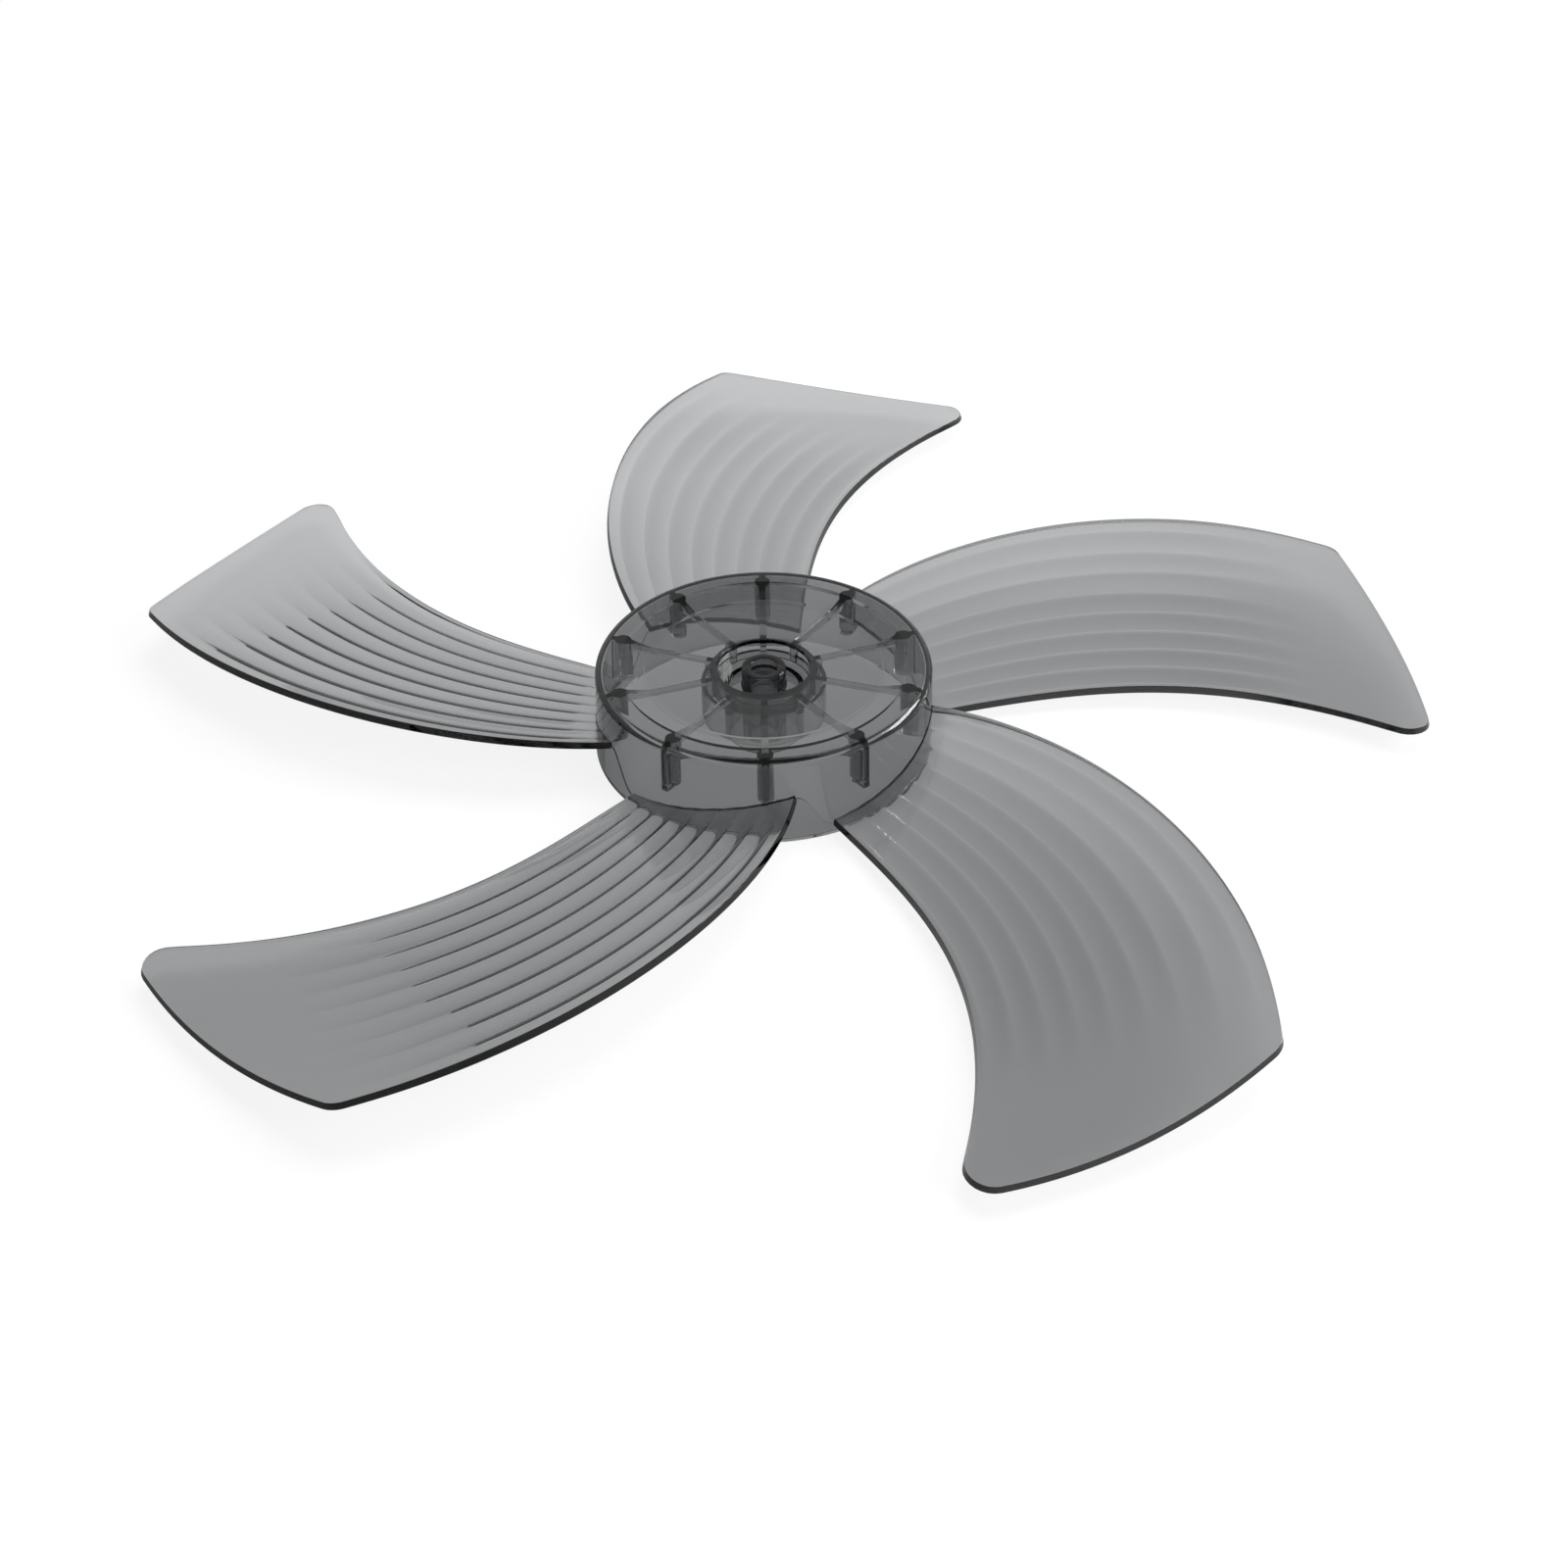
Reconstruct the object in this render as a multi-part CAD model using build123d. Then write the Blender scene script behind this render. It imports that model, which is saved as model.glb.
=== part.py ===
from build123d import *
import os
from math import atan2, cos, degrees, radians, sin, tan

# Axial fan impeller: a cup-shaped hub and five forward-swept fluted blades, moulded in one piece.
#
# The frame has its origin on the shaft axis, in the plane of the hub's back rim, and +Z points
# towards the closed front of the hub. Seen from the front the impeller turns clockwise, so each
# blade's hollow edge leads. All lengths are in millimetres and all angles in degrees.

# Overall
blade_count = 5
tip_dia = 390.0

# Hub: a cup, closed at the front, with a dished front plate
hub_height = 27.0
hub_front_dia = 97.4
hub_draft = 1.5
hub_wall = 2.2
rim_round = 2.8
plate_thickness = 2.2
dish_depth = 1.8
rim_band = 7.1
dish_slope_run = 7.1

# Centre of the hub: the nut well, the collar below it and the boss with the shaft bore
well_dia = 27.0
well_wall = 2.0
well_depth = 7.8
well_floor = 2.0
collar_gap = 1.5
collar_wall = 1.2
collar_depth = 19.0
boss_dia = 12.8
boss_drop = 2.0
socket_dia = 23.2
socket_wall = 1.5
socket_lift = 1.0
bore_dia = 8.0
pin_slot_width = 3.2
pin_slot_depth = 4.5

# Ribs under the front plate, each with a post and a fin at the hub's wall
rib_count = 10
rib_thickness = 2.0
rib_depth = 1.0
post_dia = 4.6
post_depth = 15.5
post_wall_gap = 1.0
fin_depth = 16.5

# Blade edges at the hub and at the tip: angle round the axis, and drop below the front rim
lead_root_angle, lead_tip_angle = 76.0, 66.2
lead_bow_angle, lead_skew_angle = 6.2, 2.25
lead_root_drop, lead_tip_drop = 22.6, 18.4
trail_root_angle, trail_tip_angle = 136.2, 93.7
trail_bow_angle, trail_skew_angle = -1.5, -1.7
trail_root_drop, trail_tip_drop = 11.5, 10.6
trail_bow_rise, trail_skew_rise = 5.0, -1.2
lead_tip_setback = 1.0
tip_corner_round = 7.0

# Blade section
blade_thickness = 1.8
root_camber = 0.8
tip_camber = 3.7

# Flutes on the front of each blade, like overlapping tiles: each rises gently from its
# leading side to its crown, then rounds over and drops steeply to the cusp on its trailing side
cusp_count = 9
first_cusp = 0.04
cusp_pitch = 0.1125
flute_crown = 0.66
flute_rise_angle = 4.8
flute_drop_angle = 22.0
flute_end_lead = 0.70
flute_end_trail = 0.87
flute_fade = 0.14
flute_root_strength = 0.4
flute_root_run = 0.12

# Working allowances of the model
blade_margin = 4.0
root_overlap = 0.08
tip_overlap = 0.08

dish_rim_dia = hub_front_dia - 2 * rim_band
dish_floor_dia = dish_rim_dia - 2 * dish_slope_run
hub_front_radius = hub_front_dia / 2
hub_back_radius = hub_front_radius + hub_height * tan(radians(hub_draft))
collar_dia = well_dia + 2 * (well_wall + collar_gap + collar_wall)
tip_radius = tip_dia / 2
well_radius = well_dia / 2
plate_top = hub_height - dish_depth
well_base = hub_height - well_depth


def mix(start, end, share):
    """The value a given share of the way from start to end."""
    return start + (end - start) * share


def bowed(start, end, bow, skew, share):
    """A value that runs from start to end with a bow at mid-span and a skew between its halves."""
    return mix(start, end, share) + 4 * share * (1 - share) * (bow + skew * (1 - 2 * share))


def eased(share):
    """A share held between 0 and 1, that leaves 0 and meets 1 smoothly."""
    held = min(max(share, 0.0), 1.0)
    return held * held * (3 - 2 * held)


def edge_point(radius, angle, height):
    """A point from its radius, its angle round the axis and its height above the back rim."""
    return Vector(radius * cos(radians(angle)), radius * sin(radians(angle)), height)


def lead_point(span):
    """The leading edge of the first blade at a fraction of the span."""
    radius = mix(hub_front_radius, tip_radius - lead_tip_setback, span)
    angle = bowed(lead_root_angle, lead_tip_angle, lead_bow_angle, lead_skew_angle, span)
    return edge_point(radius, angle, hub_height - mix(lead_root_drop, lead_tip_drop, span))


def trail_point(span):
    """The trailing edge of the first blade at a fraction of the span."""
    radius = mix(hub_front_radius, tip_radius, span)
    angle = bowed(trail_root_angle, trail_tip_angle, trail_bow_angle, trail_skew_angle, span)
    drop = bowed(trail_root_drop, trail_tip_drop, -trail_bow_rise, -trail_skew_rise, span)
    return edge_point(radius, angle, hub_height - drop)


def flute_strength(span, chord):
    """1 where the flutes have their full depth, less at the hub, 0 past their outer ends."""
    end = mix(flute_end_lead, flute_end_trail, chord)
    outward = 1 - eased((span - end + flute_fade) / (2 * flute_fade))
    return outward * mix(flute_root_strength, 1, eased(span / flute_root_run))


class Section:
    """One blade section, in the upright plane through matching points of the two edges."""

    def __init__(self, span):
        self.span = span
        lead, trail = lead_point(span), trail_point(span)
        flat = Vector(trail.X - lead.X, trail.Y - lead.Y, 0)
        self.width = flat.length
        self.rise = trail.Z - lead.Z
        self.camber = mix(root_camber, tip_camber, span)
        self.base = lead.Z
        self.plane = Plane(
            origin=(lead.X, lead.Y, 0), x_dir=flat, z_dir=flat.cross(Vector(0, 0, 1))
        )

    def height(self, chord):
        """Height of the front face's base line at a fraction of the chord."""
        return self.base + self.rise * chord - 4 * chord * (1 - chord) * self.camber

    def slope(self, chord):
        """Slope of that base line."""
        return (self.rise - 4 * (1 - 2 * chord) * self.camber) / self.width

    def flute(self, start, end):
        """The two parts of one flute between two chord fractions: its flat rise and its crown."""
        crown = mix(start, end, flute_crown)
        strength = flute_strength(self.span, (start + end) / 2)
        lift = strength * tan(radians(flute_rise_angle)) * (crown - start) * self.width
        near = Vector(start * self.width, self.height(start))
        top = Vector(crown * self.width, self.height(crown) + lift)
        far = Vector(end * self.width, self.height(end))
        run = (far.X - top.X) / 3
        rise = (top.Y - near.Y) / (top.X - near.X)
        fall = self.slope(end) - strength * tan(radians(flute_drop_angle))
        over = Bezier(top, top + Vector(run, run * rise), far - Vector(run, run * fall), far)
        return [Line(near, top), over]

    def base_curve(self, start, end, shift):
        """The front face's base line between two chord fractions, moved by a shift."""
        run = (end - start) * self.width / 2
        near = Vector(start * self.width, self.height(start))
        far = Vector(end * self.width, self.height(end))
        middle = near + Vector(run, run * self.slope(start))
        return Bezier(near + shift, middle + shift, far + shift)

    def wire(self):
        """The closed outline of the section, run past both edges by the margin."""
        past = blade_margin / self.width
        cusps = [first_cusp + cusp_pitch * i for i in range(cusp_count)]
        stops = [-past] + cusps + [1 + past]
        front = [part for a, b in zip(stops, stops[1:]) for part in self.flute(a, b)]
        low, high = front[0] @ 0, front[-1] @ 1
        drop = Vector(0, -blade_thickness)
        back = self.base_curve(-past, 1 + past, drop)
        sides = [Line(low, low + drop), Line(high, high + drop)]
        edges = front + [sides[1], back, sides[0]]
        return Wire([self.plane.from_local_coords(e) for e in edges])


def blade_slab():
    """The fluted sheet that one blade is cut from."""
    spans = [-root_overlap, 0.28, 0.56, 0.72, 0.88, 1 + tip_overlap]
    return Solid.make_loft([Section(s).wire() for s in spans])


def blade_outline():
    """The outline of one blade seen along the axis, from inside the hub to the rounded tip."""
    spans = [-root_overlap, 0.2, 0.4, 0.6, 0.8, 1.0]
    lead = [flat(lead_point(s)) for s in spans]
    trail = [flat(trail_point(s)) for s in spans]
    tip_middle_angle = (lead_tip_angle + trail_tip_angle) / 2
    tip_middle = flat(edge_point(tip_radius - lead_tip_setback / 2, tip_middle_angle, 0))
    with BuildSketch() as outline:
        with BuildLine():
            Spline(*lead)
            ThreePointArc(lead[-1], tip_middle, trail[-1])
            Spline(*trail)
            Line(trail[0], lead[0])
        make_face()
        tips = outline.vertices().sort_by(lambda v: Vector(v.X, v.Y, 0).length)[-2:]
        fillet(tips, radius=tip_corner_round)
    return outline.sketch


def flat(point):
    """A point's place in the plan view."""
    return (point.X, point.Y)


def blade():
    """The first blade, cut to its outline and to the middle of the hub's wall."""
    column = extrude(blade_outline(), amount=hub_height)
    return (blade_slab() & column) - hub_body(hub_wall / 2)


def hub_body(inset):
    """The hub as a plain drafted plug, a given distance inside its outer wall."""
    below = 2 * hub_height
    profile = Polyline(
        (0, -below),
        (hub_back_radius + below * tan(radians(hub_draft)) - inset, -below),
        (hub_front_radius - hub_height * tan(radians(hub_draft)) - inset, 2 * hub_height),
        (0, 2 * hub_height),
        close=True,
    )
    return revolve(make_face(Plane.XZ * profile), Axis.Z)


def hub_outside():
    """The hub as a solid: drafted wall, rounded rim, dished front plate and nut well."""
    with BuildSketch(Plane.XZ) as profile:
        with BuildLine():
            Polyline(
                (0, 0),
                (hub_back_radius, 0),
                (hub_front_radius, hub_height),
                (dish_rim_dia / 2, hub_height),
                (dish_floor_dia / 2, plate_top),
                (well_radius, plate_top),
                (well_radius, well_base),
                (0, well_base),
                close=True,
            )
        make_face()
        rim = profile.vertices().sort_by(lambda v: v.X + v.Y)[-1]
        fillet(rim, radius=rim_round)
    return revolve(profile.sketch, Axis.Z)


def hub_hollow(grow=0.0):
    """The space inside the cup, open at the back. Grown, it reaches into the walls around it."""
    wall_top = hub_front_radius - hub_wall + grow
    wall_base = hub_back_radius - hub_wall + grow
    under_rim = hub_height - plate_thickness + grow
    under_plate = plate_top - plate_thickness + grow
    profile = Polyline(
        (0, -1),
        (wall_base, -1),
        (wall_top, under_rim),
        (dish_rim_dia / 2, under_rim),
        (dish_floor_dia / 2, under_plate),
        (0, under_plate),
        close=True,
    )
    return revolve(make_face(Plane.XZ * profile), Axis.Z)


def ring(outer, inner, base, top):
    """A round tube from its two radii and its two heights."""
    return Pos(0, 0, base) * extrude(Circle(outer) - Circle(inner), amount=top - base)


def collar():
    """The nut well's wall and floor, and the wider collar behind them, held by the gussets."""
    cup, outer = well_radius + well_wall, collar_dia / 2
    wall = ring(cup, well_radius, well_base, plate_top)
    floor = Pos(0, 0, well_base - well_floor) * extrude(Circle(cup), amount=well_floor)
    skirt = ring(outer, outer - collar_wall, hub_height - collar_depth, well_base)
    return wall + floor + skirt


def boss():
    """The boss that the nut clamps and the socket round it, with the drive pin's cross slot."""
    outer = socket_dia / 2
    tube = Pos(0, 0, socket_lift) * extrude(
        Circle(boss_dia / 2), amount=hub_height - boss_drop - socket_lift
    )
    socket = ring(outer, outer - socket_wall, socket_lift, well_base)
    slot = Box(
        2 * socket_dia,
        pin_slot_width,
        pin_slot_depth,
        align=(Align.CENTER, Align.CENTER, Align.MIN),
    )
    return tube + socket - Pos(0, 0, socket_lift) * slot


def rib():
    """One rib along +X: the shallow rib, its gusset at the well, and its post and fin."""
    inner = well_radius + well_wall / 2
    outer = hub_back_radius
    gusset = upright(inner, (collar_dia - collar_wall) / 2, well_base - well_floor)
    post_place = hub_front_radius - hub_wall - post_wall_gap - post_dia / 2
    web = upright(inner, outer, plate_top - plate_thickness - rib_depth)
    fin = upright(post_place, outer, hub_height - fin_depth)
    post_base = hub_height - post_depth
    post = Pos(post_place, 0, post_base) * extrude(Circle(post_dia / 2), amount=post_depth)
    return web + gusset + fin + post


def upright(start, end, base):
    """A rib-thick plate along +X between two radii, from a base height to the hub's front."""
    plate = Box(
        end - start,
        rib_thickness,
        hub_height - base,
        align=(Align.MIN, Align.CENTER, Align.MIN),
    )
    return Pos(start, 0, base) * plate


def ribs():
    """All ribs, evenly spaced, one of them pointing along -Y."""
    step = 360 / rib_count
    return [Rot(0, 0, -90 + step * i) * rib() for i in range(rib_count)]


def hub():
    """The whole hub, with the bore through its boss and socket."""
    shell = hub_outside() - hub_hollow()
    trim = hub_hollow(grow=min(hub_wall, plate_thickness) / 2)
    inside = Part() + ribs()
    core = collar() + boss()
    bore = Pos(0, 0, -1) * extrude(Circle(bore_dia / 2), amount=2 * hub_height)
    return shell + (inside & trim) + core - bore


def impeller():
    """The finished moulding."""
    step = 360 / blade_count
    first = blade()
    blades = [Rot(0, 0, step * i) * first for i in range(blade_count)]
    return hub() + blades


os.makedirs("parts", exist_ok=True)
export_step(impeller(), "parts/fan_impeller.step")
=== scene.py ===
"""Looks of the axial fan impeller: a one-piece moulding in clear smoke-grey plastic, lying on a
white table in a soft studio. Shapes are in millimetres and end up in metres."""
from math import acos, atan2, cos, degrees, hypot, pi, radians, sin, tan

import bpy
from mathutils import Matrix, Vector


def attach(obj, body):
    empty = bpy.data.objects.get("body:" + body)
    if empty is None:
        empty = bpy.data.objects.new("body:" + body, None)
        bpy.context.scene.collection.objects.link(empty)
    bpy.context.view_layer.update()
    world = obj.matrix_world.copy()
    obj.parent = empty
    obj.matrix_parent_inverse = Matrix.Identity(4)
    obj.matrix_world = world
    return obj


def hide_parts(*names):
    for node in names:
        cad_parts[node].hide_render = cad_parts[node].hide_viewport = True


MM = 0.001
CUT_MARGIN = 5.0  # how far a piece that only cuts reaches past what it cuts

# Hub, from the shaft axis and the plane of its back rim; depths are from its front rim
HUB_HEIGHT = 27.0
HUB_FRONT_RADIUS = 48.7
HUB_DRAFT = tan(radians(1.5))
HUB_BACK_RADIUS = HUB_FRONT_RADIUS + HUB_HEIGHT * HUB_DRAFT
HUB_WALL = 2.2
RIM_ROUND = 2.8
RIM_BAND = 7.1
PLATE = 2.2
DISH_DEPTH = 1.8
DISH_SLOPE_RUN = 7.1
DISH_RIM_RADIUS = HUB_FRONT_RADIUS - RIM_BAND
DISH_FLOOR_RADIUS = DISH_RIM_RADIUS - DISH_SLOPE_RUN
PLATE_TOP = HUB_HEIGHT - DISH_DEPTH
WELL_RADIUS = 13.5
WELL_WALL = 2.0
WELL_DEPTH = 7.8
WELL_BASE = HUB_HEIGHT - WELL_DEPTH
WELL_FLOOR = 2.0
COLLAR_GAP = 1.5
COLLAR_WALL = 1.2
COLLAR_RADIUS = WELL_RADIUS + WELL_WALL + COLLAR_GAP + COLLAR_WALL
COLLAR_DEPTH = 19.0
BOSS_RADIUS = 6.4
BOSS_DEPTH = 2.0
SOCKET_RADIUS = 11.6
SOCKET_WALL = 1.5
SOCKET_BASE = 1.0
BORE_RADIUS = 4.0
PIN_SLOT_WIDTH = 3.2
PIN_SLOT_DEPTH = 4.5
EDGE_ROUND = 0.4

# Ribs under the front plate
RIB_COUNT = 10
RIB_THICKNESS = 2.0
RIB_DEPTH = 1.0
POST_RADIUS = 2.3
POST_SIDES = 32
POST_WALL_GAP = 1.0
POST_PLACE = HUB_FRONT_RADIUS - HUB_WALL - POST_WALL_GAP - POST_RADIUS
POST_DEPTH = 15.5
FIN_DEPTH = 16.5

# How finely the hub is made, and how near points in metres are one point
SPIN_STEPS = 144
ROUND_LEAST_STEPS = 3
ROUND_STEP_RATE = 3
SEAM = 1e-6
SMOOTH_ANGLE = radians(20)

# Parting line of the mould: a small step round the outside of the wall, from blade to blade
PARTING_STEP = 0.3
PARTING_BAND = 1.0
PARTING_TURNS = 360
STEPS_UNDER_BLADE = 24
STEPS_TO_NEXT_BLADE = 12

# Blades: edges at the hub and at the tip, as angles, and as drops below the hub's front rim
BLADE_COUNT = 5
TIP_RADIUS = 195.0
LEAD_ANGLES, LEAD_BOW = (76.0, 66.2), (6.2, 2.25)
LEAD_DROPS = (22.6, 18.4)
TRAIL_ANGLES, TRAIL_BOW = (136.2, 93.7), (-1.5, -1.7)
TRAIL_DROPS, TRAIL_RISE = (11.5, 10.6), (-5.0, 1.2)
LEAD_TIP_SETBACK = 1.0
TIP_CORNER = 7.0
BLADE_THICKNESS = 1.8
CAMBERS = (0.8, 3.7)

# Flutes, by fractions of the chord and the span: each rises by a power curve to its cusp
CUSP_PITCH = 0.1125
CUSPS = [0.04 + CUSP_PITCH * i for i in range(9)]
FLUTE_DROP_SLOPE = tan(radians(22.5))
FLUTE_POWER = 5
FLUTE_ENDS = (0.70, 0.87)
FLUTE_FADE = 0.14
FLUTE_ROOT_STRENGTH = 0.4
FLUTE_ROOT_RUN = 0.12

# The blade's edge and its grid of points
BLADE_EDGE_ROUND = 0.2
BLADE_EDGE_DRAFT = 0.5
BLADE_EDGE_INSET = BLADE_EDGE_ROUND + BLADE_EDGE_DRAFT
ROOT_SPAN = -0.08
PLUG_BORE = 1.0
STEPS_PER_FLUTE = 9
LEAST_STEPS = 4
STEP_CROWDING = 0.8
DRAW_IN = 3  # the insets of the edge over which a row's points shift to make room for it
STEPS_ALONG = 60
STEPS_ROUND_CORNER = 9
STEPS_EDGE_ROUND = 5
NUDGE = 0.001  # a small step of a fraction, to find slopes by
SOLVER_ROUNDS = 5

# Camera: where it stands round the hub, and where the hub's centre lands in a 1600 x 1600 frame
FRAME_PIXELS = 1600
FOCAL_PIXELS = 2431.0
HUB_AT_PIXEL = (779.15, 674.2)
CAMERA_DISTANCE = 687.7
CAMERA_ELEVATION = 35.09
CAMERA_ROLL = 0.98
SENSOR_WIDTH = 36.0
CAMERA_SEES = (0.01, 50.0)

# Table, in metres: painted light in its glow through the plastic, by a skewed way back, and in
# gloss, by X
TABLE_SIZE = 12.0
TABLE_DROP = 0.0002
PAINTED_LIGHT_SKEW = -0.33
PAINTED_LIGHT_RUN = (-0.16, 0.16)
PAINTED_LIGHT_LEVELS = (0.44, 1.0)
PAINTED_LIGHT_CURVE = 1.8
# Painted light from the right on the table, as seen in reflections
PAINTED_SIDE_LIGHT_RUN = (-0.02, 0.1)
PAINTED_SIDE_LIGHT_LEVELS = (0.2, 1.0)
# The hub shades the glow under it, out to a soft edge round the axis.
SHADE_RUN = (0.044, 0.056)
SHADE_LEVELS = (0.68, 1.0)
# The glow's share of the table to the eye: near the impeller its shadow shows, far off none does.
BLEND_RUN = (0.5, 0.9)
BLEND_SHARES = (0.85, 1.0)

# Room: its light in gloss, by the height that a ray heads for, and the lamps
ROOM_FADE = (0.45, 0.8)
ROOM_LEVELS = (0.6, 0.2)
SOFTBOXES = {
    "overhead_softbox": {"size": (0.9, 0.9), "place": (0.25, 0.35, 1.1), "watts": 13.0},
    "front_right_softbox": {"size": (0.4, 0.6), "place": (0.9, -0.7, 0.8), "watts": 7.0},
    "right_window": {"size": (0.7, 0.5), "place": (1.2, 0.3, 0.65), "watts": 12.0},
}
MIRRORED_SOFTBOX = "right_window"


def mix(start, end, share):
    """The value a given share of the way from start to end."""
    return start + (end - start) * share


def eased(share):
    """A share held between 0 and 1, that leaves 0 and meets 1 smoothly."""
    held = min(max(share, 0.0), 1.0)
    return held * held * (3 - 2 * held)


def bowed(ends, bow, share):
    """A value that runs between two ends with a bow and a skew between its halves."""
    return mix(*ends, share) + 4 * share * (1 - share) * (bow[0] + bow[1] * (1 - 2 * share))


# ---------------------------------------------------------------- meshes


def pick_only(piece):
    """Makes a piece the only selected object, and the active one."""
    bpy.ops.object.select_all(action="DESELECT")
    piece.select_set(True)
    bpy.context.view_layer.objects.active = piece


def open_all(piece):
    """Opens a piece in edit mode, with all of it selected."""
    pick_only(piece)
    bpy.ops.object.mode_set(mode="EDIT")
    bpy.ops.mesh.select_all(action="SELECT")


def close_outwards():
    """Turns the faces of the piece in edit mode outwards and leaves edit mode."""
    bpy.ops.mesh.select_all(action="SELECT")
    bpy.ops.mesh.normals_make_consistent(inside=False)
    bpy.ops.object.mode_set(mode="OBJECT")


def outline(name, points, fill):
    """A loop or one face through points in millimetres, opened in edit mode."""
    bpy.ops.mesh.primitive_circle_add(vertices=len(points), fill_type=fill)
    made = bpy.context.object
    made.name = made.data.name = name
    for corner, point in zip(made.data.vertices, points):
        corner.co = Vector(point) * MM
    open_all(made)
    return made


def combine(piece, other, how):
    """Joins another closed solid to a piece (UNION) or cuts it away (DIFFERENCE)."""
    change = piece.modifiers.new(how, "BOOLEAN")
    change.operation = how
    change.solver = "MANIFOLD"
    change.object = other
    pick_only(piece)
    bpy.ops.object.modifier_apply(modifier=change.name)
    bpy.data.objects.remove(other, do_unlink=True)
    return piece


def spun(name, profile, steps=SPIN_STEPS):
    """A solid of revolution about Z from a closed profile of (radius, height) points."""
    made = outline(name, [(r, 0, z) for r, z in profile], "NOTHING")
    bpy.ops.mesh.spin(steps=steps, angle=2 * pi, center=(0, 0, 0), axis=(0, 0, 1))
    bpy.ops.mesh.select_all(action="SELECT")
    bpy.ops.mesh.remove_doubles(threshold=SEAM)
    close_outwards()
    return made


def extruded(name, points, way):
    """A prism from one flat end, drawn out by a way in millimetres."""
    made = outline(name, points, "NGON")
    bpy.ops.mesh.extrude_region_move(TRANSFORM_OT_translate={"value": Vector(way) * MM})
    close_outwards()
    return made


def copy_turned(piece, angle):
    """A copy of a piece, with its own mesh, turned about Z."""
    made = piece.copy()
    made.data = piece.data.copy()
    bpy.context.scene.collection.objects.link(made)
    made.data.transform(Matrix.Rotation(angle, 4, "Z"))
    return made


def rounded(points, radii):
    """A closed outline with the corners that have a radius rounded off."""
    made = []
    count = len(points)
    for i, (corner, radius) in enumerate(zip(points, radii)):
        if not radius:
            made.append(tuple(corner))
            continue
        corner = Vector(corner)
        back = (Vector(points[i - 1]) - corner).normalized()
        ahead = (Vector(points[(i + 1) % count]) - corner).normalized()
        half = acos(max(-1.0, min(1.0, back.dot(ahead)))) / 2
        centre = corner + (back + ahead).normalized() * (radius / sin(half))
        first = corner + back * (radius / tan(half)) - centre
        last = corner + ahead * (radius / tan(half)) - centre
        sweep = first.angle_signed(last)
        steps = ROUND_LEAST_STEPS + round(ROUND_STEP_RATE * abs(sweep) * radius**0.5)
        for k in range(steps + 1):
            turn = -sweep * k / steps
            made.append(tuple(centre + Matrix.Rotation(turn, 2) @ first))
    return made


# ---------------------------------------------------------------- hub


def hub_profile():
    """Half of the hub's section, from the bore out over the front plate and back inside.

    Each corner is a radius, a height and the radius of its round.
    """
    r = EDGE_ROUND
    wall_top = HUB_FRONT_RADIUS - HUB_WALL
    wall_base = HUB_BACK_RADIUS - HUB_WALL
    under_plate, under_rim = PLATE_TOP - PLATE, HUB_HEIGHT - PLATE
    floor_under = WELL_BASE - WELL_FLOOR
    corners = [
        (BORE_RADIUS, SOCKET_BASE, 0),
        (BORE_RADIUS, HUB_HEIGHT - BOSS_DEPTH, r),
        (BOSS_RADIUS, HUB_HEIGHT - BOSS_DEPTH, r),
        (BOSS_RADIUS, WELL_BASE, r),
        (WELL_RADIUS, WELL_BASE, r),
        (WELL_RADIUS, PLATE_TOP, r),
        (DISH_FLOOR_RADIUS, PLATE_TOP, 3 * r),
        (DISH_RIM_RADIUS, HUB_HEIGHT, 2 * r),
        (HUB_FRONT_RADIUS, HUB_HEIGHT, RIM_ROUND),
        (HUB_BACK_RADIUS, 0, r / 2),
        (wall_base, 0, r / 2),
        (wall_top, under_rim, r),
        (DISH_RIM_RADIUS, under_rim, r),
        (DISH_FLOOR_RADIUS, under_plate, 3 * r),
        (WELL_RADIUS + WELL_WALL, under_plate, r / 2),
        (WELL_RADIUS + WELL_WALL, floor_under, r / 2),
        (SOCKET_RADIUS, floor_under, r / 2),
        (SOCKET_RADIUS, SOCKET_BASE, r / 2),
        (SOCKET_RADIUS - SOCKET_WALL, SOCKET_BASE, r / 2),
        (SOCKET_RADIUS - SOCKET_WALL, floor_under, r / 2),
        (BOSS_RADIUS, floor_under, r / 2),
        (BOSS_RADIUS, SOCKET_BASE, r / 2),
    ]
    return rounded([c[:2] for c in corners], [c[2] for c in corners])


def collar():
    """The thin collar round the nut well, held by the gussets only."""
    inner, low = COLLAR_RADIUS - COLLAR_WALL, HUB_HEIGHT - COLLAR_DEPTH
    corners = [(inner, low), (COLLAR_RADIUS, low), (COLLAR_RADIUS, WELL_BASE), (inner, WELL_BASE)]
    return spun("collar", rounded(corners, [EDGE_ROUND / 2] * len(corners)))


def hub_body():
    """The cup, the nut well, the boss and the socket, all turned from one section."""
    body = spun("hub", hub_profile())
    half, reach = PIN_SLOT_WIDTH / 2, 2 * SOCKET_RADIUS
    low, high = SOCKET_BASE - CUT_MARGIN, SOCKET_BASE + PIN_SLOT_DEPTH
    end = [(-reach, -half, low), (-reach, half, low), (-reach, half, high), (-reach, -half, high)]
    return combine(body, extruded("pin_slot", end, (2 * reach, 0, 0)), "DIFFERENCE")


def upright(name, side):
    """A rib-thick plate along +X from its side's outline of (radius, height) points."""
    points = [(r, -RIB_THICKNESS / 2, z) for r, z in side]
    return extruded(name, points, (0, RIB_THICKNESS, 0))


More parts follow.
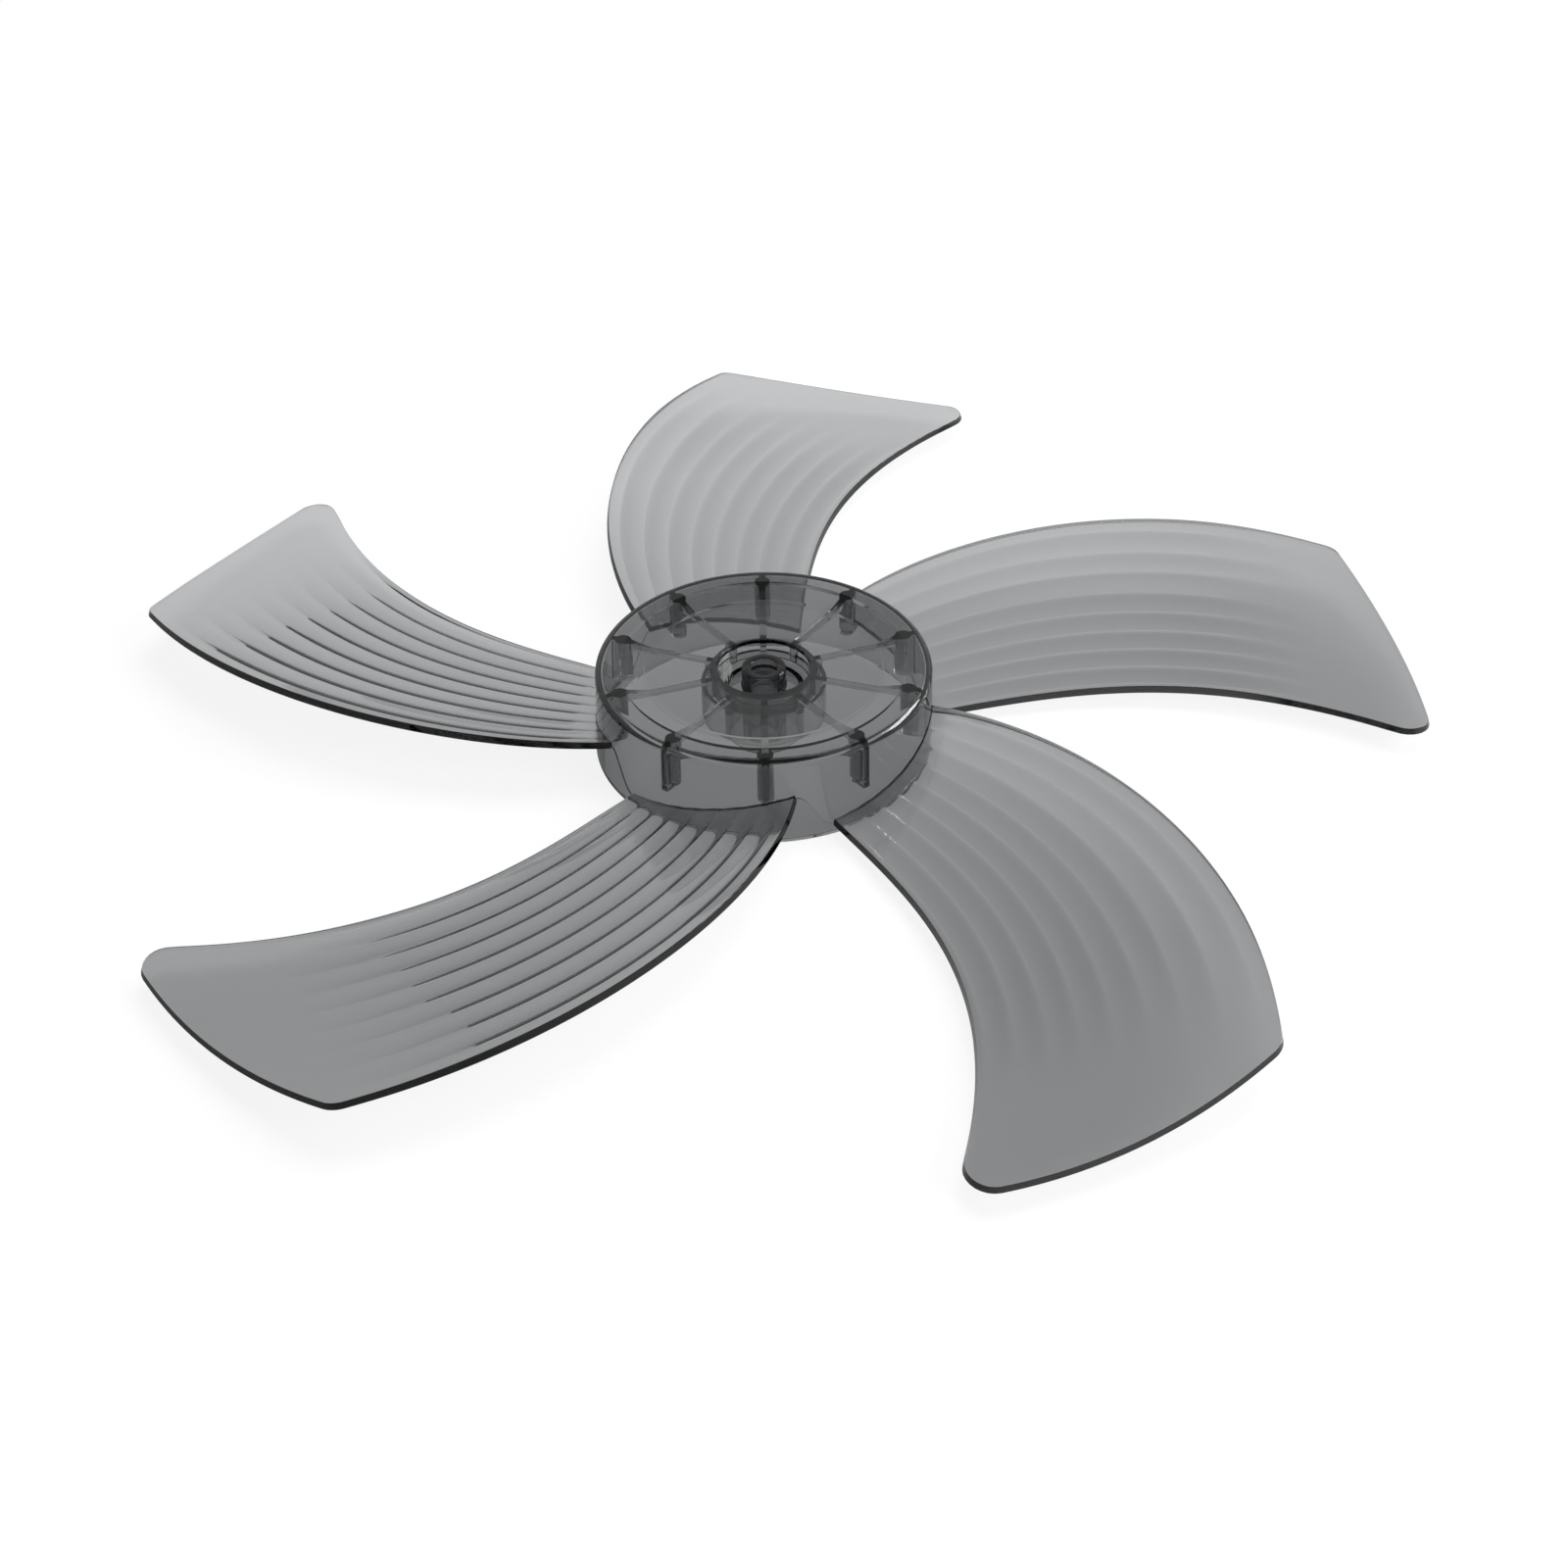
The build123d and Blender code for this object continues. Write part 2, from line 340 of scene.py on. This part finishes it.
def rib():
    """One rib: the shallow rib, its gusset at the well, and the post and fin at the wall."""
    start, end = WELL_RADIUS + WELL_WALL / 2, HUB_FRONT_RADIUS - HUB_WALL / 2
    in_plate, in_rim = PLATE_TOP - PLATE / 2, HUB_HEIGHT - PLATE / 2
    low = PLATE_TOP - PLATE - RIB_DEPTH
    web = [(start, low), (end, low), (end, in_rim), (DISH_RIM_RADIUS, in_rim)]
    web += [(DISH_FLOOR_RADIUS, in_plate), (start, in_plate)]
    made = upright("rib", web)
    foot, out = WELL_BASE - WELL_FLOOR, COLLAR_RADIUS - COLLAR_WALL / 2
    gusset = [(start, foot), (out, foot), (out, in_plate), (start, in_plate)]
    combine(made, upright("gusset", gusset), "UNION")
    low = HUB_HEIGHT - FIN_DEPTH
    fin = [(POST_PLACE, low), (end, low), (end, in_rim), (POST_PLACE, in_rim)]
    combine(made, upright("fin", fin), "UNION")
    low = HUB_HEIGHT - POST_DEPTH
    bpy.ops.mesh.primitive_cylinder_add(
        vertices=POST_SIDES,
        radius=POST_RADIUS * MM,
        depth=(in_rim - low) * MM,
        location=(POST_PLACE * MM, 0, (low + in_rim) / 2 * MM),
    )
    return combine(made, bpy.context.object, "UNION")


def hub():
    """The hub with all its ribs, one of them towards -Y."""
    body = combine(hub_body(), collar(), "UNION")
    first = rib()
    for i in range(RIB_COUNT):
        combine(body, copy_turned(first, 2 * pi * i / RIB_COUNT - pi / 2), "UNION")
    bpy.data.objects.remove(first, do_unlink=True)
    return body


# ---------------------------------------------------------------- blades


def lead_point(span):
    """The leading edge at a fraction of the span, in plan, with its height."""
    radius = mix(HUB_FRONT_RADIUS, TIP_RADIUS - LEAD_TIP_SETBACK, span)
    angle = radians(bowed(LEAD_ANGLES, LEAD_BOW, span))
    return Vector((radius * cos(angle), radius * sin(angle), HUB_HEIGHT - mix(*LEAD_DROPS, span)))


def trail_point(span):
    """The trailing edge at a fraction of the span, in plan, with its height."""
    radius = mix(HUB_FRONT_RADIUS, TIP_RADIUS, span)
    angle = radians(bowed(TRAIL_ANGLES, TRAIL_BOW, span))
    drop = bowed(TRAIL_DROPS, TRAIL_RISE, span)
    return Vector((radius * cos(angle), radius * sin(angle), HUB_HEIGHT - drop))


def flute_strength(span, chord):
    """1 where the flutes have their full depth, less at the hub, 0 past their outer ends."""
    end = mix(*FLUTE_ENDS, chord)
    outward = 1 - eased((span - end + FLUTE_FADE) / (2 * FLUTE_FADE))
    return outward * mix(FLUTE_ROOT_STRENGTH, 1, eased(span / FLUTE_ROOT_RUN))


def flute_height(span, chord, width):
    """How far the front face stands above its base: a slow rise, a crown and a steep drop."""
    slope = FLUTE_DROP_SLOPE / (FLUTE_POWER - 1)
    stops = [CUSPS[0] - CUSP_PITCH] + CUSPS + [CUSPS[-1] + CUSP_PITCH]
    for start, end in zip(stops, stops[1:]):
        if start <= chord <= end:
            share = (chord - start) / (end - start)
            strength = flute_strength(span, (start + end) / 2)
            return strength * slope * (end - start) * width * (share - share**FLUTE_POWER)
    return 0.0


def blade_point(span, chord, front):
    """A point of the blade's front or back face, in millimetres."""
    lead, trail = lead_point(span), trail_point(span)
    width = hypot(trail.x - lead.x, trail.y - lead.y)
    at = lead.lerp(trail, chord)
    at.z -= 4 * chord * (1 - chord) * mix(*CAMBERS, span)
    at.z += flute_height(span, chord, width) if front else -BLADE_THICKNESS
    return at


def plan(span, chord):
    """A point of the blade seen along the axis."""
    return lead_point(span).lerp(trail_point(span), chord).xy


def place_of(spot, span, chord):
    """The span and the chord fraction of a spot in plan, from a first guess."""
    for _ in range(SOLVER_ROUNDS):
        here = plan(span, chord)
        along = (plan(span + NUDGE, chord) - here) / NUDGE
        across = (plan(span, chord + NUDGE) - here) / NUDGE
        miss = spot - here
        area = along.x * across.y - along.y * across.x
        span += (miss.x * across.y - miss.y * across.x) / area
        chord += (along.x * miss.y - along.y * miss.x) / area
    return span, chord


def tip_arc():
    """Centre and radius of the arc that ends the blade, through both tips and their middle."""
    angle = radians((LEAD_ANGLES[1] + TRAIL_ANGLES[1]) / 2)
    middle = Vector((cos(angle), sin(angle))) * (TIP_RADIUS - LEAD_TIP_SETBACK / 2)
    first, last = plan(1, 0), plan(1, 1)
    d1, d2 = middle - first, last - middle
    k1, k2 = (first + middle).dot(d1) / 2, (middle + last).dot(d2) / 2
    cross = d1.x * d2.y - d1.y * d2.x
    centre = Vector(((k1 * d2.y - k2 * d1.y) / cross, (k2 * d1.x - k1 * d2.x) / cross))
    return centre, (first - centre).length


def tip_span(chord, arc):
    """The span fraction where a line of constant chord meets the edge round of the tip."""
    centre, radius = arc
    span = 1.0
    for _ in range(SOLVER_ROUNDS):
        near = (plan(span, chord) - centre).length
        slope = ((plan(span + NUDGE, chord) - centre).length - near) / NUDGE
        span += (radius - BLADE_EDGE_INSET - near) / slope
    return span


def edge_chord(span, side, inset):
    """Chord fraction of a line that runs a set distance inside edge 0 (leading) or 1."""
    tangent = (plan(span + NUDGE, side) - plan(span, side)).normalized()
    row = plan(span, 1) - plan(span, 0)
    share = inset / abs(tangent.x * row.y - tangent.y * row.x)
    return mix(share, 1 - share, side)


def corner_places(side, arc):
    """Places from an edge to the tip along the start of the edge round, at one tip corner."""
    centre, radius = arc

    def middle(span):
        return plan(span, edge_chord(span, side, TIP_CORNER))

    def miss(span):
        return (middle(span) - centre).length - radius + TIP_CORNER

    span = 1.0
    for _ in range(SOLVER_ROUNDS):
        span -= miss(span) * NUDGE / (miss(span + NUDGE) - miss(span))
    pivot = middle(span)
    tangent = (plan(span + NUDGE, side) - plan(span, side)).normalized()
    start = Vector((tangent.y, -tangent.x)) * (1 if side else -1)
    start *= 1 if start.dot(plan(span, side) - pivot) > 0 else -1
    sweep = -start.angle_signed(pivot - centre)
    made = []
    for k in range(STEPS_ROUND_CORNER + 1):
        arm = Matrix.Rotation(sweep * k / STEPS_ROUND_CORNER, 2) @ start
        made.append(place_of(pivot + arm * (TIP_CORNER - BLADE_EDGE_INSET), span, side))
    return made


def row_ends(arc):
    """Both ends, as span and chord fractions, of every row of points from root to tip."""
    corners = [corner_places(0, arc), corner_places(1, arc)]
    rows = []
    for i in range(STEPS_ALONG):
        spans = [mix(ROOT_SPAN, corners[side][0][0], i / STEPS_ALONG) for side in (0, 1)]
        rows.append([(s, edge_chord(s, side, BLADE_EDGE_INSET)) for side, s in enumerate(spans)])
    return rows + [list(pair) for pair in zip(*corners)]


def chord_stops():
    """Chord fractions of the points of a row: one on every cusp, and closer before it."""
    stops = [0.0] + CUSPS + [1.0]
    made = []
    for start, end in zip(stops, stops[1:]):
        steps = max(LEAST_STEPS, round(STEPS_PER_FLUTE * (end - start) / CUSP_PITCH))
        made += [mix(start, end, (i / steps) ** STEP_CROWDING) for i in range(steps)]
    return made + [1.0]


def blade_places():
    """Rows of places, as span and chord fractions, that fill the blade inside its edge round."""
    arc = tip_arc()
    made = []
    for (span_0, chord_0), (span_1, chord_1) in row_ends(arc):
        start = (span_0 - ROOT_SPAN) / (tip_span(chord_0, arc) - ROOT_SPAN)
        end = (span_1 - ROOT_SPAN) / (tip_span(chord_1, arc) - ROOT_SPAN)
        near = max(CUSPS[0], DRAW_IN * chord_0)
        far = max(1 - CUSPS[-1], DRAW_IN * (1 - chord_1))
        row = []
        for stop in chord_stops():
            chord = stop + chord_0 * max(0, 1 - stop / near)
            chord -= (1 - chord_1) * max(0, 1 - (1 - stop) / far)
            reach = tip_span(chord, arc) - ROOT_SPAN
            row.append((ROOT_SPAN + reach * mix(start, end, stop), chord))
        made.append(row)
    return made


def edge_rings(rim, fronts, backs):
    """The drafted edge with its two rounds, as rings of points outside the rim points."""
    steps = STEPS_EDGE_ROUND
    turns = [pi / 2 * k / steps for k in range(steps + 1)]
    levels = [(fronts, BLADE_EDGE_ROUND * cos(t), 1 - sin(t)) for t in reversed(turns[:-1])]
    for t in turns:
        levels.append((backs, BLADE_EDGE_DRAFT + BLADE_EDGE_ROUND * cos(t), sin(t) - 1))
    rings = []
    for face, reach, drop in levels:
        ring = []
        for i, index in enumerate(rim):
            ahead, back = rim[min(i + 1, len(rim) - 1)], rim[max(i - 1, 0)]
            along = (fronts[ahead] - fronts[back]).xy.normalized()
            out = Vector((along.y, -along.x, 0)) * reach
            ring.append(face[index] + out - Vector((0, 0, BLADE_EDGE_ROUND * drop)))
        rings.append(ring)
    return rings


def blade_sheet():
    """One blade as a closed sheet with a fluted front, a smooth back and rounded edges.

    Its flutes fade along a slanting line, which no operator shapes, so its points are worked out.
    """
    places = blade_places()
    rows, columns = len(places), len(places[0])
    fronts = [blade_point(s, c, True) for row in places for s, c in row]
    backs = [blade_point(s, c, False) for row in places for s, c in row]
    rim = [i * columns for i in range(rows)]
    rim += [(rows - 1) * columns + j for j in range(1, columns)]
    rim += [i * columns + columns - 1 for i in range(rows - 2, -1, -1)]
    count = len(fronts)
    points = fronts + backs
    levels = [rim]
    for ring in edge_rings(rim, fronts, backs):
        levels.append([len(points) + i for i in range(len(ring))])
        points += ring
    levels.append([count + i for i in rim])
    faces = []
    for i in range(rows - 1):
        for j in range(columns - 1):
            a, b = i * columns + j, (i + 1) * columns + j
            faces += [(a, a + 1, b + 1, b), (count + a, count + b, count + b + 1, count + a + 1)]
    for upper, lower in zip(levels, levels[1:]):
        for i in range(len(rim) - 1):
            faces.append((upper[i], upper[i + 1], lower[i + 1], lower[i]))
    root = list(range(columns)) + [level[-1] for level in levels[1:-1]]
    root += [count + j for j in range(columns - 1, -1, -1)]
    faces.append(root + [level[0] for level in levels[-2:0:-1]])
    data = bpy.data.meshes.new("blade")
    data.from_pydata([Vector(p) * MM for p in points], [], faces)
    made = bpy.data.objects.new("blade", data)
    bpy.context.scene.collection.objects.link(made)
    open_all(made)
    close_outwards()
    return made


def blade():
    """The first blade, cut off at the middle of the hub's wall."""
    low, high = -CUT_MARGIN, HUB_HEIGHT + CUT_MARGIN
    profile = [(PLUG_BORE, low)]
    profile += [(HUB_BACK_RADIUS - z * HUB_DRAFT - HUB_WALL / 2, z) for z in (low, high)]
    return combine(blade_sheet(), spun("plug", profile + [(PLUG_BORE, high)]), "DIFFERENCE")


def parting_heights():
    """Height of the parting line by angle, over one blade's share of the wall."""
    line = []
    for i in range(STEPS_UNDER_BLADE + 1):
        at = blade_point(0.0, i / STEPS_UNDER_BLADE, False)
        line.append((degrees(atan2(at.y, at.x)), at.z + BLADE_THICKNESS / 2))
    start, end = line[-1], (line[0][0] + 360 / BLADE_COUNT, line[0][1])
    for k in range(1, STEPS_TO_NEXT_BLADE + 1):
        share = k / STEPS_TO_NEXT_BLADE
        line.append((mix(start[0], end[0], share), mix(start[1], end[1], eased(share))))
    return line


def parting_band():
    """The part of the wall behind the parting line, which stands slightly proud."""
    line = parting_heights()
    inner, outer = HUB_BACK_RADIUS - PARTING_BAND, HUB_BACK_RADIUS + PARTING_STEP
    # Spun 1 mm high, and then each top point is put at the line's height, in by the wall's draft.
    section = [(inner, 0), (outer, 0), (outer, 1), (inner, 1)]
    made = spun("parting_band", section, PARTING_TURNS)
    made.data.transform(Matrix.Rotation(pi / PARTING_TURNS, 4, "Z"))
    for corner in [v.co for v in made.data.vertices if v.co.z > MM / 2]:
        local = line[0][0] + (degrees(atan2(corner.y, corner.x)) - line[0][0]) % (360 / BLADE_COUNT)
        for (a, za), (b, zb) in zip(line, line[1:]):
            if a <= local <= b:
                top = mix(za, zb, (local - a) / (b - a))
        corner.xy *= 1 - top * HUB_DRAFT * MM / corner.xy.length
        corner.z = top * MM
    return made


def impeller(material):
    """The whole moulding as one closed skin."""
    made = combine(hub(), parting_band(), "UNION")
    first = blade()
    for i in range(BLADE_COUNT):
        combine(made, copy_turned(first, 2 * pi * i / BLADE_COUNT), "UNION")
    bpy.data.objects.remove(first, do_unlink=True)
    made.name = "impeller_moulding"
    made.data.materials.clear()
    made.data.materials.append(material)
    pick_only(made)
    bpy.ops.object.shade_smooth_by_angle(angle=SMOOTH_ANGLE)
    flats = made.modifiers.new("keep_flats_flat", "WEIGHTED_NORMAL")
    flats.weight = 100
    flats.keep_sharp = True
    bpy.ops.object.modifier_apply(modifier=flats.name)
    return made


# ---------------------------------------------------------------- materials


def linear(hex_colour):
    """An sRGB hex colour as linear red, green, blue and alpha."""
    parts = [int(hex_colour[i : i + 2], 16) / 255 for i in (1, 3, 5)]
    return [p / 12.92 if p <= 0.04045 else ((p + 0.055) / 1.055) ** 2.4 for p in parts] + [1.0]


def node(tree, kind, settings=None, links=None):
    """Adds a node to a tree, with its settings, its input values and its links.

    A link starts from a socket, or from a node's first output.
    """
    made = tree.nodes.new(kind)
    for key, value in (settings or {}).items():
        if isinstance(key, int) or key in made.inputs:
            made.inputs[key].default_value = value
        else:
            setattr(made, key, value)
    for key, source in (links or {}).items():
        socket = source.outputs[0] if isinstance(source, bpy.types.Node) else source
        tree.links.new(socket, made.inputs[key])
    return made


def new_material(name):
    """An empty node material's tree and the material."""
    made = bpy.data.materials.new(name)
    made.use_nodes = True
    made.node_tree.nodes.clear()
    return made, made.node_tree


def smoke_san():
    """Smoke-grey SAN, a clear glossy styrene plastic, straight from a polished mould.

    It darkens with the length of the way through it: mid grey through a face, black at an edge.
    """
    made, tree = new_material("smoke_grey_san_moulded")
    surface = node(
        tree,
        "ShaderNodeBsdfPrincipled",
        {
            "Base Color": linear("#FFFFFF"),
            "Roughness": 0.03,
            "IOR": 1.57,
            "Transmission Weight": 1.0,
        },
    )
    depth = node(
        tree, "ShaderNodeVolumeAbsorption", {"Color": linear("#BCBEC0"), "Density": 570.0}
    )
    node(tree, "ShaderNodeOutputMaterial", {}, {"Surface": surface, "Volume": depth})
    return made


def white_table():
    """White table laminate, lit from within to the eye, that still keeps a soft shadow.

    Through the clear plastic it has painted light, brighter at the back where more of the studio's
    light falls.
    """
    made, tree = new_material("white_laminate")
    path = node(tree, "ShaderNodeLightPath").outputs
    through, gloss = path["Is Transmission Ray"], path["Is Glossy Ray"]
    place = node(tree, "ShaderNodeNewGeometry").outputs["Position"]
    axes = node(tree, "ShaderNodeSeparateXYZ", {}, {0: place}).outputs
    reach = node(tree, "ShaderNodeVectorMath", {"operation": "LENGTH"}, {0: place}).outputs["Value"]

    # Through the plastic: painted light and shade, brighter at the back, darker in front
    skewed = {"operation": "MULTIPLY_ADD", 1: PAINTED_LIGHT_SKEW}
    backwards = node(tree, "ShaderNodeMath", skewed, {0: axes["X"], 2: axes["Y"]})
    share = node(tree, "ShaderNodeMapRange", {1: PAINTED_LIGHT_RUN[0], 2: PAINTED_LIGHT_RUN[1]}, {0: backwards})
    curve = node(tree, "ShaderNodeMath", {"operation": "POWER", 1: PAINTED_LIGHT_CURVE}, {0: share})
    levels = {3: PAINTED_LIGHT_LEVELS[0], 4: PAINTED_LIGHT_LEVELS[1]}
    level = node(tree, "ShaderNodeMapRange", levels, {0: curve})
    # The hub's painted shadow on the glow under it
    edge = {"interpolation_type": "SMOOTHSTEP", **dict(enumerate(SHADE_RUN + SHADE_LEVELS, 1))}
    shade = node(tree, "ShaderNodeMapRange", edge, {0: reach})
    level = node(tree, "ShaderNodeMath", {"operation": "MULTIPLY"}, {0: level, 1: shade})
    strength = node(tree, "ShaderNodeMix", {2: 1.0}, {0: through, 3: level})

    # In gloss: painted light from the right, brighter towards +X
    side_light = dict(enumerate(PAINTED_SIDE_LIGHT_RUN + PAINTED_SIDE_LIGHT_LEVELS, 1))
    painted_side_light = node(tree, "ShaderNodeMapRange", side_light, {0: axes["X"]})
    less = {"operation": "SUBTRACT", "use_clamp": True}
    mirrored = node(tree, "ShaderNodeMath", less, {0: gloss, 1: through})
    strength = node(tree, "ShaderNodeMix", {}, {0: mirrored, 2: strength, 3: painted_side_light})

    # To the eye, and to both of these
    seen = path["Is Camera Ray"]
    for other in (through, gloss):
        seen = node(tree, "ShaderNodeMath", {"operation": "MAXIMUM"}, {0: seen, 1: other})
    shares = dict(enumerate(BLEND_RUN + BLEND_SHARES, 1))
    blend = node(tree, "ShaderNodeMapRange", shares, {0: reach})
    part = node(tree, "ShaderNodeMath", {"operation": "MULTIPLY"}, {0: seen, 1: blend})
    glow = node(tree, "ShaderNodeEmission", {"Color": linear("#FFFFFF")}, {"Strength": strength})
    lit = node(tree, "ShaderNodeBsdfDiffuse", {"Color": linear("#F2F2F2")})
    both = node(tree, "ShaderNodeMixShader", {}, {0: part, 1: lit, 2: glow})
    node(tree, "ShaderNodeOutputMaterial", {}, {"Surface": both})
    return made


# ---------------------------------------------------------------- studio


def table_top():
    """The floor that the impeller lies on."""
    bpy.ops.object.select_all(action="DESELECT")
    bpy.ops.mesh.primitive_plane_add(size=TABLE_SIZE, location=(0, 0, -TABLE_DROP))
    floor = bpy.context.object
    floor.name = "table_top"
    floor.data.materials.append(white_table())


def softbox(name, size, place, watts):
    """One flat studio lamp, turned to face the impeller."""
    data = bpy.data.lights.new(name, "AREA")
    data.shape = "RECTANGLE"
    data.size, data.size_y = size
    data.energy = watts
    lamp = bpy.data.objects.new(name, data)
    bpy.context.scene.collection.objects.link(lamp)
    lamp.location = place
    lamp.rotation_euler = (-Vector(place)).to_track_quat("-Z", "Y").to_euler()
    lamp.visible_glossy = lamp.visible_transmission = name == MIRRORED_SOFTBOX


def studio():
    """Soft lamps, and a room that is white to the eye and in gloss fades from its floor up."""
    world = bpy.data.worlds.new("studio")
    bpy.context.scene.world = world
    world.use_nodes = True
    tree = world.node_tree
    tree.nodes.clear()
    path = node(tree, "ShaderNodeLightPath").outputs
    flags = {0: path["Is Camera Ray"], 1: path["Is Transmission Ray"]}
    seen = node(tree, "ShaderNodeMath", {"operation": "MAXIMUM"}, flags)
    heading = node(tree, "ShaderNodeTexCoord").outputs["Generated"]
    height = node(tree, "ShaderNodeSeparateXYZ", {}, {0: heading}).outputs["Z"]
    levels = dict(enumerate(ROOM_FADE + ROOM_LEVELS, 1))
    fade = node(tree, "ShaderNodeMapRange", levels, {0: height})
    pale = {"Color": linear("#FFFFFF")}
    room = node(tree, "ShaderNodeBackground", pale, {"Strength": fade})
    white = node(tree, "ShaderNodeBackground", {**pale, "Strength": 1.0})
    both = node(tree, "ShaderNodeMixShader", {}, {0: seen, 1: room, 2: white})
    node(tree, "ShaderNodeOutputWorld", {}, {"Surface": both})
    for name, lamp in SOFTBOXES.items():
        softbox(name, **lamp)


def camera():
    """The camera, placed by its distance, elevation and roll, and aimed by the hub's pixel."""
    data = bpy.data.cameras.new("camera")
    data.sensor_width = SENSOR_WIDTH
    data.lens = SENSOR_WIDTH * FOCAL_PIXELS / FRAME_PIXELS
    data.clip_start, data.clip_end = CAMERA_SEES
    eye = bpy.data.objects.new("camera", data)
    bpy.context.scene.collection.objects.link(eye)
    across = (HUB_AT_PIXEL[0] - FRAME_PIXELS / 2) / FOCAL_PIXELS
    upward = (FRAME_PIXELS / 2 - HUB_AT_PIXEL[1]) / FOCAL_PIXELS
    aim = Vector((0, 0, -1)).rotation_difference(Vector((across, upward, -1)))
    rise = radians(CAMERA_ELEVATION)
    pose = (
        Matrix.Rotation(pi / 2 - rise, 4, "X")
        @ Matrix.Rotation(-radians(CAMERA_ROLL), 4, "Z")
        @ aim.inverted().to_matrix().to_4x4()
    )
    away = Vector((0, -cos(rise), sin(rise))) * CAMERA_DISTANCE
    pose.translation = (Vector((0, 0, HUB_HEIGHT)) + away) * MM
    eye.matrix_world = pose
    bpy.context.scene.camera = eye


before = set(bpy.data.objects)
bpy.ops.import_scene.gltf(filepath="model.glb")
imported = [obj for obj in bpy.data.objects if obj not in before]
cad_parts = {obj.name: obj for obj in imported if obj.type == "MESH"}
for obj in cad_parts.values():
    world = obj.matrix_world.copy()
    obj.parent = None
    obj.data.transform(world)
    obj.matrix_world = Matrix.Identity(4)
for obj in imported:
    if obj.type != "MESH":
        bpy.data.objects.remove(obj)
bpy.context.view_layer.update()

moulding = impeller(smoke_san())
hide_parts("fan_impeller")
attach(moulding, "root")

table_top()
studio()
camera()
bpy.context.scene.view_settings.view_transform = "Standard"
